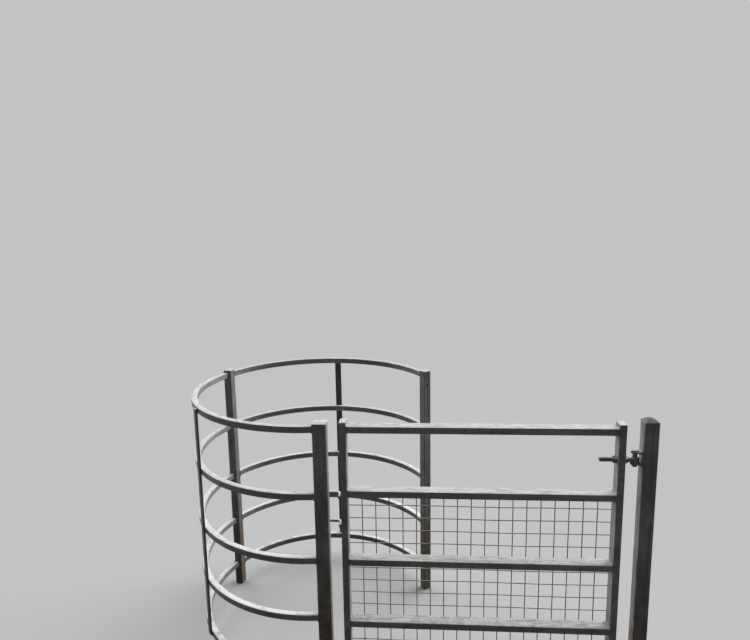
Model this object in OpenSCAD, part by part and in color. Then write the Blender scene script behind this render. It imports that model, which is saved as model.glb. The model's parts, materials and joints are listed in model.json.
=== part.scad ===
// Kissing gate: a round hoop of curved square tube, with one mesh-clad leaf
// that swings inside its mouth. Millimetres, +Z up, ground level at z = 0.
// The origin is the middle of the hinge post's foot. The leaf lies along -X,
// shut against the near post, and the hoop stands on the +Y side of it.

/* [Posts] */
// Side of the square tube of the hinge post and the near post
post_w = 50; // [44:1:60]
// Side of the slimmer square tube of the rear post and the far post
slim_post_w = 38; // [34:1:46]
// Corner radius of the post tubes
post_corner = 4; // [2:0.5:6]
// Height of the hinge post up to the rim of its domed cap
hinge_post_h = 1118; // [1080:1:1250]
// Height of the three hoop posts with their caps
hoop_post_h = 1108; // [1060:1:1250]
// Thickness of the flat caps and of the rim under the domed cap
cap_t = 4; // [2:0.5:8]
// Overhang of the caps past their posts
cap_lip = 0.5; // [0:0.5:3]
// Rise of the hinge post's domed cap above its rim
dome_rise = 14; // [6:1:20]

/* [Hoop] */
// Radius of the hoop, on the middle line of its rails
hoop_r = 521; // [480:1:600]
// Side of the square tube that the hoop rails are bent from
hoop_rail_w = 25; // [20:1:30]
// Corner radius of the hoop rails and of the leaf's tubes
tube_corner = 3; // [1:0.5:4]
// Gap between the near post and the leaf's closing stile
closing_gap = 47; // [40:1:60]
// Place of the near post round the hoop, in degrees
near_angle = -80; // [-90:0.5:-74]
// Place of the far post round the hoop, in degrees
far_angle = 25.5; // [20:0.5:34]
// Place of the rear post round the hoop, in degrees
rear_angle = 153.5; // [140:0.5:160]
// Turn of the far post about its own middle line, in degrees
far_turn = 38; // [25:1:50]
// Turn of the rear post about its own middle line, in degrees
rear_turn = -14; // [-26:1:0]
// Drop from the hoop posts' tops to the top rail's upper face
hoop_drop = 11; // [8:1:28]
// Steps down from each hoop rail to the next: first
hoop_step_1 = 256; // [200:1:280]
// Second step
hoop_step_2 = 253; // [200:1:280]
// Third step
hoop_step_3 = 233; // [200:1:280]
// Height of the hoop's lowest rail, at its upper face
hoop_bottom = 120; // [80:1:140]
// Width of the flat uprights, along the hoop
upright_w = 30; // [20:1:50]
// Thickness of the flat uprights
upright_t = 8; // [5:1:12]
// Place of the left upright round the hoop, in degrees
left_upright_angle = 215.5; // [200:0.5:230]
// Place of the back upright round the hoop, in degrees
back_upright_angle = 88; // [70:0.5:110]
// How far each upright's end stays inside the outermost rail's face
upright_inset = 7; // [2:1:20]

/* [Leaf] */
// Width of the leaf over both stiles
leaf_w = 995; // [900:1:1100]
// Front-to-back depth of the leaf's tubes
leaf_d = 50; // [40:1:52]
// Face width of the stiles, and height of the rails
leaf_face = 25; // [20:1:32]
// Drop from the hinge post's rim to the upper face of the leaf's top rail
leaf_drop = 18; // [0:1:25]
// Steps down from each leaf rail to the next: first
leaf_step_1 = 242; // [200:1:290]
// Second step
leaf_step_2 = 268; // [200:1:290]
// Third step
leaf_step_3 = 250; // [200:1:290]
// Height of the leaf's lowest rail, at its upper face
leaf_bottom = 90; // [60:1:140]
// How far the stiles run past the outer rails, above and below
stile_overrun = 11; // [5:1:25]
// Thickness of the stile caps
stile_cap_t = 3; // [1:0.5:5]
// Gap between the hinge stile and the hinge post
hinge_gap = 58; // [50:1:75]

/* [Mesh] */
// Pitch of the mesh wires, both ways
mesh_pitch = 50; // [40:1:75]
// Diameter of the mesh wires
wire_d = 3.5; // [2.5:0.5:6]
// Drop from the second rail's upper face to the top wire
mesh_drop = 27; // [8:1:60]
// How far the wires run past the outermost crossings
wire_tail = 10; // [4:1:20]
// Bite of one wire into the other where they are welded
weld_bite = 0.6; // [0.2:0.1:1]

/* [Hinges] */
// Distance from the hinge post's face to the pins
pin_out = 21; // [20:0.5:30]
// Diameter of the hinge pins
pin_d = 16; // [12:1:18]
// Radial clearance between each pin and its eye
pin_fit = 0.08; // [0.02:0.01:0.1]
// Diameter of the pins' flat heads
pin_head_d = 22; // [20:1:28]
// Thickness of the pins' flat heads
pin_head_t = 4; // [2:0.5:8]
// How far the pins run on below their lower lugs
pin_end = 8; // [4:1:20]
// Outer diameter of the eyes
eye_d = 32; // [28:1:34]
// Height of the eyes
eye_h = 20; // [16:1:24]
// Rounding of the eyes' outer edges
eye_round = 2.5; // [1:0.5:4]
// Diameter of the eye bolts' shanks
shank_d = 16; // [12:1:16]
// Length of shank past the stile, with its inner nut
shank_tail = 59; // [30:1:90]
// Thickness of the nuts
nut_t = 13; // [8:1:16]
// Width of the nuts across their flats
nut_af = 24; // [22:1:30]
// Chamfer of the nuts' corners, measured across the nut's face
nut_chamfer = 2.4; // [1:0.1:3]
// Drop from the upper face of the leaf's top rail to the upper eye bolt
upper_hinge_drop = 119; // [100:1:150]
// Rise from the upper face of the leaf's lowest rail to the lower eye bolt
lower_hinge_rise = 100; // [60:1:150]
// Thickness of the lug plates
lug_t = 6; // [4:1:10]
// Width of the lug plates
lug_w = 30; // [24:1:44]
// Free length of pin between each eye and its upper lug
pin_reveal = 16; // [6:1:30]
// Clearance between each eye and the lower lug that it rides on
seat_gap = 0.3; // [0.1:0.1:1]

/* [Stop loop] */
// Diameter of the loop's round bar
loop_d = 12; // [8:1:16]
// Drop from the upper face of the leaf's top rail to the loop's upper bar
loop_drop = 276; // [240:1:320]
// Distance between the loop's two bars
loop_span = 111; // [60:1:160]
// How far the loop reaches behind the near post, past its nearer face
loop_hold = 20; // [12:1:40]
// Bend radius of the bars, on the middle line
loop_bend = 18; // [14:1:24]
// How far each bar's welded foot runs forward of the stile's middle
loop_foot = 8; // [0:1:20]
// Clearance between the loop and the near post's back
loop_gap = 5; // [5:0.5:12]
// Gap under the loop's feet, where they are welded to the stile's side
foot_gap = 0.2; // [0.1:0.1:0.5]

/* [Hidden] */

// Upper faces of the five hoop rails and the five leaf rails, from the top down
hoop_top = hoop_post_h - hoop_drop;
hoop_tops = [hoop_top,
    hoop_top - hoop_step_1,
    hoop_top - hoop_step_1 - hoop_step_2,
    hoop_top - hoop_step_1 - hoop_step_2 - hoop_step_3,
    hoop_bottom];
leaf_top = hinge_post_h - leaf_drop;
leaf_tops = [leaf_top,
    leaf_top - leaf_step_1,
    leaf_top - leaf_step_1 - leaf_step_2,
    leaf_top - leaf_step_1 - leaf_step_2 - leaf_step_3,
    leaf_bottom];

// The leaf's ends and middle along X
pin_x = -post_w / 2 - pin_out;
leaf_right = -post_w / 2 - hinge_gap;
leaf_left = leaf_right - leaf_w;
leaf_middle = (leaf_left + leaf_right) / 2;

// The hoop's middle, placed so that the near post stands on the leaf's line
near_post_face = leaf_left - closing_gap;
hoop_x = near_post_face - post_w / 2 - hoop_r * cos(near_angle);
hoop_y = -hoop_r * sin(near_angle);
stile_bottom = leaf_bottom - leaf_face - stile_overrun;
stile_top = leaf_top + stile_overrun;

// The mesh, whole pitches centred between the stiles and down to the bottom rail
mesh_top = leaf_tops[1] - mesh_drop;
mesh_bottom_limit = leaf_bottom - leaf_face;
mesh_rows = floor((mesh_top - mesh_bottom_limit) / mesh_pitch);
mesh_columns = floor((leaf_w - 2 * wire_tail) / mesh_pitch);
mesh_w = mesh_columns * mesh_pitch;
mesh_h = mesh_rows * mesh_pitch;
wire_r = wire_d / 2 / cos(30);

// Both hinges: the shanks grow out of the middle of the eyes' walls
upper_hinge_z = leaf_top - upper_hinge_drop;
lower_hinge_z = leaf_bottom + lower_hinge_rise;
shank_start = pin_x - (eye_d + pin_d) / 4;
shank_end = leaf_right - leaf_face - shank_tail;

// The loop passes behind the near post
loop_top = leaf_top - loop_drop;
loop_y = post_w / 2 + loop_gap + loop_d / 2;
loop_left = near_post_face - loop_hold;
foot_x = leaf_left - foot_gap - loop_d / 2;

// How far a cutter runs past what it cuts
over = 1;

post_grey = [0.44, 0.43, 0.40];
rail_grey = [0.56, 0.55, 0.53];
cap_grey = [0.68, 0.69, 0.70];
hinge_grey = [0.50, 0.49, 0.46];
wire_grey = [0.58, 0.58, 0.56];

// Outline of a tube with rounded corners, across its length
module tube_outline(w, d, corner) {
    square([w - 2 * corner, d], center = true);
    square([w, d - 2 * corner], center = true);
    for (sx = [-1, 1], sy = [-1, 1])
        translate([sx * (w / 2 - corner), sy * (d / 2 - corner)])
            circle(r = corner, $fn = 24);
}

module upright_tube(w, d, corner, from_z, to_z) {
    translate([0, 0, from_z])
        linear_extrude(to_z - from_z)
            tube_outline(w, d, corner);
}

// Moves its children out to a place on the hoop's middle line
module on_hoop(angle, turn) {
    translate([hoop_x + hoop_r * cos(angle), hoop_y + hoop_r * sin(angle), 0])
        rotate([0, 0, turn])
            children();
}

module square_post(w, h) {
    upright_tube(w, w, post_corner, 0, h);
}

module flat_cap(w, top_z) {
    upright_tube(w + 2 * cap_lip, w + 2 * cap_lip, post_corner, top_z - cap_t, top_z);
}

module hinge_post() {
    color(post_grey) square_post(post_w, hinge_post_h);
}

// A lying cylinder whose top is a vault of the given rise over the given width
module vault(half_w, rise, rim_top, turn) {
    vault_r = (half_w * half_w + rise * rise) / (2 * rise);
    translate([0, 0, rim_top + rise - vault_r])
        rotate([90, 0, turn])
            cylinder(r = vault_r, h = 2 * (half_w + over), center = true, $fn = 96);
}

// A straight rim round the post, with a pillow of two crossed vaults above it
module hinge_post_cap() {
    half_w = post_w / 2 + cap_lip;
    rim_top = hinge_post_h + cap_t;
    color(cap_grey) union() {
        upright_tube(2 * half_w, 2 * half_w, post_corner, hinge_post_h, rim_top);
        intersection() {
            upright_tube(2 * half_w, 2 * half_w, post_corner, hinge_post_h, rim_top + dome_rise + over);
            vault(half_w, dome_rise, rim_top, 0);
            vault(half_w, dome_rise, rim_top, 90);
        }
    }
}

module near_post() {
    color(post_grey) on_hoop(near_angle, 0) square_post(post_w, hoop_post_h - cap_t);
}

module near_post_cap() {
    color(cap_grey) on_hoop(near_angle, 0) flat_cap(post_w, hoop_post_h);
}

module rear_post() {
    color(post_grey) on_hoop(rear_angle, rear_turn) square_post(slim_post_w, hoop_post_h - cap_t);
}

module rear_post_cap() {
    color(cap_grey) on_hoop(rear_angle, rear_turn) flat_cap(slim_post_w, hoop_post_h);
}

module far_post() {
    color(post_grey) on_hoop(far_angle, far_turn) square_post(slim_post_w, hoop_post_h - cap_t);
}

module far_post_cap() {
    color(cap_grey) on_hoop(far_angle, far_turn) flat_cap(slim_post_w, hoop_post_h);
}

// One curved rail, from one post's middle to the other's
module bent_tube(top_z, from_angle, to_angle) {
    translate([hoop_x, hoop_y, top_z - hoop_rail_w / 2])
        rotate([0, 0, from_angle])
            rotate_extrude(angle = to_angle - from_angle, $fn = 180)
                translate([hoop_r, 0]) tube_outline(hoop_rail_w, hoop_rail_w, tube_corner);
}

// The flat-sided space that a post takes out of the rails that end on it
module post_space(w, angle, turn) {
    on_hoop(angle, turn)
        translate([-w / 2, -w / 2, 0]) cube([w, w, hoop_post_h]);
}

// The rails are cut flat, to meet the faces of their posts
module left_rail(level) {
    color(rail_grey) difference() {
        bent_tube(hoop_tops[level], rear_angle, near_angle + 360);
        post_space(slim_post_w, rear_angle, rear_turn);
        post_space(post_w, near_angle, 0);
    }
}

module back_rail(level) {
    color(rail_grey) difference() {
        bent_tube(hoop_tops[level], far_angle, rear_angle);
        post_space(slim_post_w, far_angle, far_turn);
        post_space(slim_post_w, rear_angle, rear_turn);
    }
}

// A flat bar down the outside of one curved panel, welded to each rail
module flat_upright(angle) {
    bottom = hoop_bottom - hoop_rail_w + upright_inset;
    top = hoop_top - upright_inset;
    color(post_grey) on_hoop(angle, angle)
        translate([hoop_rail_w / 2, -upright_w / 2, bottom])
            cube([upright_t, upright_w, top - bottom]);
}

module left_upright() {
    flat_upright(left_upright_angle);
}

module back_upright() {
    flat_upright(back_upright_angle);
}

// A stile with the hole that its two eye bolts pass through
module hinge_stile() {
    color(rail_grey) difference() {
        translate([leaf_right - leaf_face / 2, 0, 0])
            upright_tube(leaf_face, leaf_d, tube_corner, stile_bottom, stile_top);
        for (z = [upper_hinge_z, lower_hinge_z])
            translate([leaf_right - leaf_face - over, 0, z])
                rotate([0, 90, 0]) cylinder(d = shank_d, h = leaf_face + 2 * over, $fn = 48);
    }
}

module closing_stile() {
    color(rail_grey) translate([leaf_left + leaf_face / 2, 0, 0])
        upright_tube(leaf_face, leaf_d, tube_corner, stile_bottom, stile_top);
}

module stile_cap() {
    upright_tube(leaf_face, leaf_d, tube_corner, stile_top, stile_top + stile_cap_t);
}

module hinge_stile_cap() {
    color(cap_grey) translate([leaf_right - leaf_face / 2, 0, 0]) stile_cap();
}

module closing_stile_cap() {
    color(cap_grey) translate([leaf_left + leaf_face / 2, 0, 0]) stile_cap();
}

// A straight rail between the stiles' inner faces
module leaf_rail(level) {
    color(rail_grey)
        translate([leaf_left + leaf_face, 0, leaf_tops[level] - leaf_face / 2])
            rotate([0, 90, 0])
                linear_extrude(leaf_w - 2 * leaf_face)
                    tube_outline(leaf_face, leaf_d, tube_corner);
}

// Long wires lie against the stiles' backs, and short upright ones behind them
module leaf_mesh() {
    row_y = leaf_d / 2 + wire_d / 2;
    column_y = row_y + wire_d - weld_bite;
    left = leaf_middle - mesh_w / 2;
    color(wire_grey) union() {
        for (row = [0 : mesh_rows])
            translate([left - wire_tail, row_y, mesh_top - row * mesh_pitch])
                rotate([0, 90, 0]) cylinder(r = wire_r, h = mesh_w + 2 * wire_tail, $fn = 6);
        for (column = [0 : mesh_columns])
            translate([left + column * mesh_pitch, column_y, mesh_top - mesh_h - wire_tail])
                cylinder(r = wire_r, h = mesh_h + 2 * wire_tail, $fn = 6);
    }
}

// One lug plate from the post's face out round the pin
module lug_plate(under_z) {
    difference() {
        union() {
            translate([pin_x, -lug_w / 2, under_z]) cube([pin_out, lug_w, lug_t]);
            translate([pin_x, 0, under_z]) cylinder(d = lug_w, h = lug_t, $fn = 64);
        }
        translate([pin_x, 0, under_z - over]) cylinder(d = pin_d, h = lug_t + 2 * over, $fn = 48);
    }
}

// The eye rides just above its lower lug
module hinge_lugs(z) {
    color(hinge_grey) {
        lug_plate(z - eye_h / 2 - seat_gap - lug_t);
        lug_plate(z + eye_h / 2 + pin_reveal);
    }
}

module upper_hinge_lugs() {
    hinge_lugs(upper_hinge_z);
}

module lower_hinge_lugs() {
    hinge_lugs(lower_hinge_z);
}

// The pin, with a flat head on the upper lug
module hinge_pin(z) {
    under = z - eye_h / 2 - seat_gap - lug_t - pin_end;
    top = z + eye_h / 2 + pin_reveal + lug_t;
    color(hinge_grey) union() {
        translate([pin_x, 0, under]) cylinder(d = pin_d, h = top - under, $fn = 48);
        translate([pin_x, 0, top]) cylinder(d = pin_head_d, h = pin_head_t, $fn = 48);
    }
}

module upper_hinge_pin() {
    hinge_pin(upper_hinge_z);
}

module lower_hinge_pin() {
    hinge_pin(lower_hinge_z);
}

// The eye before it is bored, with its outer edges rounded
module eye_blank() {
    rotate_extrude($fn = 64) {
        translate([0, -eye_h / 2]) square([eye_d / 2 - eye_round, eye_h]);
        translate([0, eye_round - eye_h / 2]) square([eye_d / 2, eye_h - 2 * eye_round]);
        for (side = [-1, 1])
            translate([eye_d / 2 - eye_round, side * (eye_h / 2 - eye_round)])
                circle(r = eye_round, $fn = 24);
    }
}

// An eye round the pin, with a shank through the stile and past it
module eye_bolt(z) {
    color(hinge_grey) difference() {
        union() {
            translate([pin_x, 0, z]) eye_blank();
            translate([shank_end, 0, z])
                rotate([0, 90, 0]) cylinder(d = shank_d, h = shank_start - shank_end, $fn = 48);
        }
        translate([pin_x, 0, z - eye_h / 2 - over])
            cylinder(r = pin_d / 2 + pin_fit, h = eye_h + 2 * over, $fn = 48);
    }
}

module upper_eye_bolt() {
    eye_bolt(upper_hinge_z);
}

module lower_eye_bolt() {
    eye_bolt(lower_hinge_z);
}

// A hexagon nut on the shank from x on, turned down at both ends to chamfer its corners
module shank_nut(x, z) {
    corner_r = nut_af / 2 / cos(30);
    outer_r = corner_r + over;
    face_r = corner_r - nut_chamfer;
    depth = (outer_r - face_r) * tan(30);
    translate([x, 0, z]) rotate([0, 90, 0]) difference() {
        intersection() {
            cylinder(r = corner_r, h = nut_t, $fn = 6);
            rotate_extrude($fn = 48)
                polygon([[0, 0], [face_r, 0], [outer_r, depth],
                    [outer_r, nut_t - depth], [face_r, nut_t], [0, nut_t]]);
        }
        translate([0, 0, -over]) cylinder(d = shank_d, h = nut_t + 2 * over, $fn = 48);
    }
}

module eye_nuts(z) {
    color(hinge_grey) {
        shank_nut(leaf_right, z);
        shank_nut(leaf_right - leaf_face - nut_t, z);
    }
}

module upper_eye_nuts() {
    eye_nuts(upper_hinge_z);
}

module lower_eye_nuts() {
    eye_nuts(lower_hinge_z);
}

// One bar of the loop: a foot welded along the stile's side, a quarter bend, then along -X
module loop_bar(z) {
    bend_x = foot_x - loop_bend;
    bend_y = loop_y - loop_bend;
    translate([foot_x, -loop_foot, z])
        rotate([-90, 0, 0]) cylinder(d = loop_d, h = bend_y + loop_foot, $fn = 32);
    translate([bend_x, bend_y, z])
        rotate_extrude(angle = 90, $fn = 96)
            translate([loop_bend, 0]) circle(d = loop_d, $fn = 32);
    translate([loop_left, loop_y, z])
        rotate([0, 90, 0]) cylinder(d = loop_d, h = bend_x - loop_left, $fn = 32);
}

module stop_loop() {
    color(hinge_grey) union() {
        loop_bar(loop_top);
        loop_bar(loop_top - loop_span);
        translate([loop_left, loop_y, loop_top - loop_span])
            cylinder(d = loop_d, h = loop_span, $fn = 32);
        for (z = [loop_top, loop_top - loop_span])
            translate([loop_left, loop_y, z]) sphere(d = loop_d, $fn = 32);
    }
}

hinge_post();
hinge_post_cap();
upper_hinge_lugs();
lower_hinge_lugs();
upper_hinge_pin();
lower_hinge_pin();
near_post();
near_post_cap();
rear_post();
rear_post_cap();
far_post();
far_post_cap();
left_rail(0);  // left_rail_1
left_rail(1);  // left_rail_2
left_rail(2);  // left_rail_3
left_rail(3);  // left_rail_4
left_rail(4);  // left_rail_5
back_rail(0);  // back_rail_1
back_rail(1);  // back_rail_2
back_rail(2);  // back_rail_3
back_rail(3);  // back_rail_4
back_rail(4);  // back_rail_5
left_upright();
back_upright();
hinge_stile();
closing_stile();
hinge_stile_cap();
closing_stile_cap();
leaf_rail(0);  // leaf_rail_1
leaf_rail(1);  // leaf_rail_2
leaf_rail(2);  // leaf_rail_3
leaf_rail(3);  // leaf_rail_4
leaf_rail(4);  // leaf_rail_5
leaf_mesh();
upper_eye_bolt();
lower_eye_bolt();
upper_eye_nuts();
lower_eye_nuts();
stop_loop();
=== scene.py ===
# Kissing gate in weathered galvanised steel: finishes, weld beads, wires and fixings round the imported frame
import bpy
import json
import math
import random
from mathutils import Matrix, Vector


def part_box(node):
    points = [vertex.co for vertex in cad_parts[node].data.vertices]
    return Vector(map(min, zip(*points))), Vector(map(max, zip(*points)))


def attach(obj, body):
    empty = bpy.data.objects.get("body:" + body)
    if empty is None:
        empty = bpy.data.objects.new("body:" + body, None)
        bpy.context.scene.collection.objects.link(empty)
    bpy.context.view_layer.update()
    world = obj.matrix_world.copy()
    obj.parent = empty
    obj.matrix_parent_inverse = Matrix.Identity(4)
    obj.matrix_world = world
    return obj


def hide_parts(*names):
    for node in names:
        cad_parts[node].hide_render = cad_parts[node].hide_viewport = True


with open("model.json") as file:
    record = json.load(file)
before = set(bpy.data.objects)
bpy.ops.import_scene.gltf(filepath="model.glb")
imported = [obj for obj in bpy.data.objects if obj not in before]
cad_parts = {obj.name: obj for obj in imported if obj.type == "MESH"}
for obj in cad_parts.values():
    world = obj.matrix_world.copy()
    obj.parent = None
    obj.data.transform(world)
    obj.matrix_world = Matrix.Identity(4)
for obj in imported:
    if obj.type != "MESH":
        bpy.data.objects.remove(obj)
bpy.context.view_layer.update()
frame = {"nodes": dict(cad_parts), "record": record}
nodes = frame["nodes"]
bpy.ops.object.select_all(action="DESELECT")
bpy.context.scene.view_settings.view_transform = "Standard"
print("frame loaded:", len(nodes), "nodes")

hoopBody = "hoop_and_posts"
leafBody = "leaf"
railLevels = range(1, 6)  # the leaf and both panels of the hoop have five rails
alongX, alongY, alongZ = Vector((1, 0, 0)), Vector((0, 1, 0)), Vector((0, 0, 1))


# Camera as it stood for the photograph, worked out from the rails, posts and wires
photoCamera = {
    "place": (-0.7798, -2.1558, 1.8579),  # metres
    "yaw": -4.358,  # degrees clockwise from +Y
    "pitch": 9.959,  # degrees below the horizon
    "roll": -0.976,
    "focalPixels": 635.8,
    "imageWidth": 750,
    "sensor": 36,  # millimetres
}


def makeCamera(look):
    bpy.ops.object.camera_add()
    camera = bpy.context.object
    camera.name = "photoCamera"
    camera.matrix_world = (Matrix.Translation(look["place"])
                           @ Matrix.Rotation(math.radians(-look["yaw"]), 4, "Z")
                           @ Matrix.Rotation(math.radians(90 - look["pitch"]), 4, "X")
                           @ Matrix.Rotation(math.radians(look["roll"]), 4, "Z"))
    camera.data.sensor_width = look["sensor"]
    camera.data.lens = look["sensor"] * look["focalPixels"] / look["imageWidth"]
    bpy.context.scene.camera = camera


makeCamera(photoCamera)
print("camera placed")


# Small helpers for the node trees
def addNode(tree, kind, inputs=None, **settings):
    node = tree.nodes.new(kind)
    for key, value in settings.items():
        setattr(node, key, value)
    for key, value in (inputs or {}).items():
        if isinstance(value, bpy.types.NodeSocket):
            tree.links.new(value, node.inputs[key])
        else:
            node.inputs[key].default_value = value
    return node


def mapped(tree, place, scale=(1, 1, 1), shift=(0, 0, 0), turn=0.0):
    inputs = {"Vector": place, "Scale": scale, "Location": shift, "Rotation": (0, 0, turn)}
    return addNode(tree, "ShaderNodeMapping", inputs).outputs[0]


def noise(tree, place, pattern):
    if "stretch" in pattern:
        place = mapped(tree, place, pattern["stretch"], pattern.get("shift", (0, 0, 0)))
    inputs = {"Vector": place, "Scale": pattern["scale"], "Detail": pattern["detail"],
              "Roughness": pattern["roughness"]}
    return addNode(tree, "ShaderNodeTexNoise", inputs).outputs["Fac"]


def fade(tree, value, start, end, low=0.0, high=1.0):
    inputs = {"Value": value, "From Min": start, "From Max": end, "To Min": low, "To Max": high}
    return addNode(tree, "ShaderNodeMapRange", inputs, interpolation_type="SMOOTHSTEP").outputs[0]


def patches(tree, place, pattern, most=1.0):
    return fade(tree, noise(tree, place, pattern), *pattern["shown"], 0.0, most)


def maths(tree, operation, a, b):
    return addNode(tree, "ShaderNodeMath", {0: a, 1: b}, operation=operation).outputs[0]


def mixColours(tree, share, a, b, blend="MIX"):
    inputs = {0: share, 6: a, 7: b}
    return addNode(tree, "ShaderNodeMix", inputs, data_type="RGBA", blend_type=blend).outputs[2]


def bump(tree, place, pattern, strength, under=None):
    inputs = {"Height": noise(tree, place, pattern), "Strength": strength, "Distance": pattern["depth"]}
    if under is not None:
        inputs["Normal"] = under
    return addNode(tree, "ShaderNodeBump", inputs).outputs[0]


def grey(level, warmth=0.0):
    return (level * (1 + warmth), level, level * (1 - warmth), 1)


# The hoop on the ground plan, from the middles of its three posts
hoopPosts = {
    "near_post": {"side": 0.050, "turn": 0},  # metres, and degrees on the plan
    "rear_post": {"side": 0.038, "turn": -14},
    "far_post": {"side": 0.038, "turn": 38},
}


def middleOf(node):
    low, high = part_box(node)
    return (low + high) / 2


def circleThrough(a, b, c):
    double = 2 * (a.x * (b.y - c.y) + b.x * (c.y - a.y) + c.x * (a.y - b.y))
    squareA, squareB, squareC = [p.x ** 2 + p.y ** 2 for p in (a, b, c)]
    x = (squareA * (b.y - c.y) + squareB * (c.y - a.y) + squareC * (a.y - b.y)) / double
    y = (squareA * (c.x - b.x) + squareB * (a.x - c.x) + squareC * (b.x - a.x)) / double
    middle = Vector((x, y, 0))
    return middle, (Vector((a.x, a.y, 0)) - middle).length


hoopMiddle, hoopRadius = circleThrough(*[middleOf(post) for post in hoopPosts])


# Noise patterns in the zinc, with the part of each that shows. Some are stretched along the steel or down it
zincPatterns = {
    "clouds": {"stretch": (0.45, 1, 1), "scale": 11, "detail": 6, "roughness": 0.62, "shown": (0.36, 0.66)},
    "runs": {"stretch": (70, 70, 2.4), "scale": 1, "detail": 4, "roughness": 0.6, "shown": (0.50, 0.72)},
    "paleRuns": {"stretch": (95, 95, 3.5), "shift": (3.1, 0, 0.7), "scale": 1, "detail": 3, "roughness": 0.6,
                 "shown": (0.58, 0.75)},
    "drifts": {"stretch": (0.22, 1, 1), "scale": 58, "detail": 7, "roughness": 0.66, "shown": (0.40, 0.66)},
    "lines": {"stretch": (0.2, 1, 1), "scale": 140, "detail": 5, "roughness": 0.65, "shown": (0.53, 0.66)},
    "blotches": {"stretch": (0.6, 1, 1), "scale": 34, "detail": 8, "roughness": 0.72, "shown": (0.56, 0.74)},
    "pits": {"scale": 310, "detail": 3, "roughness": 0.6, "shown": (0.62, 0.72)},
    "splash": {"scale": 19, "detail": 7, "roughness": 0.7, "shown": (0.25, 0.75)},
    "wear": {"scale": 45, "detail": 5, "roughness": 0.6, "shown": (0.3, 0.7)},
    "grain": {"scale": 520, "detail": 3, "roughness": 0.55, "depth": 0.0005},
    "ripple": {"scale": 48, "detail": 4, "roughness": 0.5, "depth": 0.0022},
}
zincCrystals = {"scale": 120, "warp": 0.007, "warpScale": 160, "warpDetail": 4}  # the warp frays their edges
zincLimits = {
    "lowness": (1.12, 0.25),  # metres up: the tops change from the first height down to the second
    "bleed": (1.085, 1.135),  # metres up: the brown under the caps comes on between these
    "bleedWander": 0.05,
    "upright": (0.35, 0.75),  # the next four are spans of a face's slope, 0 on a side and 1 on a top
    "top": (0.45, 0.90),
    "cornerStart": (0.25, 0.50),
    "cornerEnd": (0.95, 0.75),
    "soilRagged": 0.5,  # how far the soil's upper edge wanders, as a share of its height
    "soilDull": 0.3,  # how much rougher than the steel the soil is
    "smoother": 0.09,  # wear takes the roughness this far down and up
    "rougher": 0.12,
    "mouthTurn": -153,  # degrees that bring the seam of the angle round the hoop into its mouth
}


# The long way of a pattern runs along the steel: straight, upright or round the hoop
def alongSteel(tree, coordinates, way):
    if way == "upright":
        parts = addNode(tree, "ShaderNodeSeparateXYZ", {0: coordinates}).outputs
        return addNode(tree, "ShaderNodeCombineXYZ", {0: parts[2], 1: parts[0], 2: parts[1]}).outputs[0]
    if way == "straight":
        return coordinates
    fromMiddle = mapped(tree, coordinates, shift=-hoopMiddle)
    turned = mapped(tree, fromMiddle, turn=math.radians(zincLimits["mouthTurn"]))
    parts = addNode(tree, "ShaderNodeSeparateXYZ", {0: turned}).outputs
    angle = maths(tree, "ARCTAN2", parts[1], parts[0])
    flat = addNode(tree, "ShaderNodeVectorMath", {0: turned, 1: (1, 1, 0)}, operation="MULTIPLY").outputs[0]
    reach = addNode(tree, "ShaderNodeVectorMath", {0: flat}, operation="LENGTH").outputs["Value"]
    arc = maths(tree, "MULTIPLY", angle, hoopRadius)
    return addNode(tree, "ShaderNodeCombineXYZ", {0: arc, 1: reach, 2: parts[2]}).outputs[0]


# What the patterns are laid by: places on the steel, heights, how far a face looks up, and the rain's runs
def steelSpots(tree, look):
    coordinates = addNode(tree, "ShaderNodeTexCoord").outputs["Object"]
    place = mapped(tree, coordinates, shift=look["shift"])
    normal = addNode(tree, "ShaderNodeNewGeometry").outputs["Normal"]
    upward = addNode(tree, "ShaderNodeSeparateXYZ", {0: normal}).outputs[2]
    slope = maths(tree, "ABSOLUTE", upward, 0.0)
    return {
        "place": place,
        "along": mapped(tree, alongSteel(tree, coordinates, look["way"]), shift=look["shift"]),
        "height": addNode(tree, "ShaderNodeSeparateXYZ", {0: coordinates}).outputs[2],
        "upward": upward,
        "upright": fade(tree, slope, *zincLimits["upright"], 1.0, 0.0),
        "runs": noise(tree, place, zincPatterns["runs"]),
    }


# Zinc crystals with ragged edges, each a little paler or darker
def crystalShade(tree, place, contrast):
    inputs = {"Vector": place, "Scale": zincCrystals["warpScale"], "Detail": zincCrystals["warpDetail"]}
    warp = addNode(tree, "ShaderNodeTexNoise", inputs).outputs["Color"]
    inputs = {0: warp, 1: [zincCrystals["warp"]] * 3, 2: place}
    warped = addNode(tree, "ShaderNodeVectorMath", inputs, operation="MULTIPLY_ADD").outputs[0]
    crystals = addNode(tree, "ShaderNodeTexVoronoi", {"Vector": warped, "Scale": zincCrystals["scale"]})
    level = addNode(tree, "ShaderNodeSeparateColor", {0: crystals.outputs["Color"]}).outputs[0]
    shade = fade(tree, level, 0.0, 1.0, 1 - contrast, 1 + contrast)
    return addNode(tree, "ShaderNodeCombineColor", {0: shade, 1: shade, 2: shade}).outputs[0]


# Sides: patina in clouds, crystals, dark and pale runs
def zincSides(tree, spots, look):
    clouds = patches(tree, spots["along"], zincPatterns["clouds"])
    colour = mixColours(tree, clouds, look["patina"], look["side"])
    shade = crystalShade(tree, spots["place"], look["crystals"])
    colour = mixColours(tree, 1.0, colour, shade, "MULTIPLY")
    runs = fade(tree, spots["runs"], *zincPatterns["runs"]["shown"], 0.0, look["streaks"])
    colour = mixColours(tree, maths(tree, "MULTIPLY", runs, spots["upright"]), colour, look["streak"])
    paleRuns = patches(tree, spots["place"], zincPatterns["paleRuns"], look["bloom"])
    return mixColours(tree, maths(tree, "MULTIPLY", paleRuns, spots["upright"]), colour, look["top"])


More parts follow.
